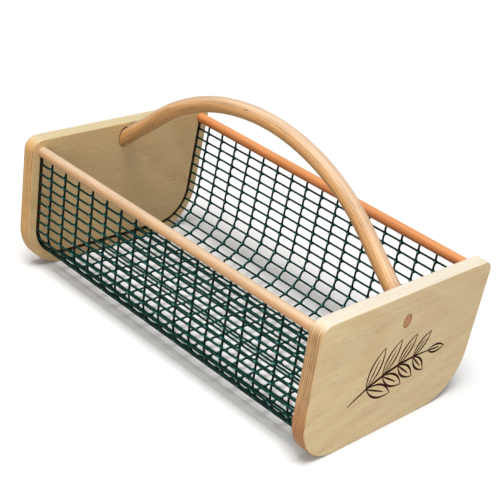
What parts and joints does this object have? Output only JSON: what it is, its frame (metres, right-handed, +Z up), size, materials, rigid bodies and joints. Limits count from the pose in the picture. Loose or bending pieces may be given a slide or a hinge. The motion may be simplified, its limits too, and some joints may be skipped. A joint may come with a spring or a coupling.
{
  "type": "garden hod",
  "caption": "Harvest basket: welded wire sheet bent to a U between two wooden end panels, with dowel rails and an arched wooden carrying handle.",
  "frame": {"origin": "on the ground under the middle of the basket", "axes": "+X along the basket's length towards the right end panel, +Y across it towards the back rail, +Z up"},
  "size_m": [0.481, 0.2828, 0.2785],
  "materials": {
    "panel_wood": "bare planed pine, eased edges",
    "rail_wood": "sanded dowel, light oil",
    "handle_wood": "sanded bent rod, light oil",
    "coated_wire": "glossy dark green vinyl coat over welded steel wire"
  },
  "bodies": {
    "root": {"end_panel_left": "panel_wood", "end_panel_right": "panel_wood", "rail_front": "rail_wood", "rail_back": "rail_wood", "handle": "handle_wood", "mesh_wall_front": "coated_wire", "mesh_bend_upper_front": "coated_wire", "mesh_bend_middle_front": "coated_wire", "mesh_bend_lower_front": "coated_wire", "mesh_floor": "coated_wire", "mesh_bend_upper_back": "coated_wire", "mesh_bend_middle_back": "coated_wire", "mesh_bend_lower_back": "coated_wire", "mesh_wall_back": "coated_wire"}
  },
  "joints": []
}
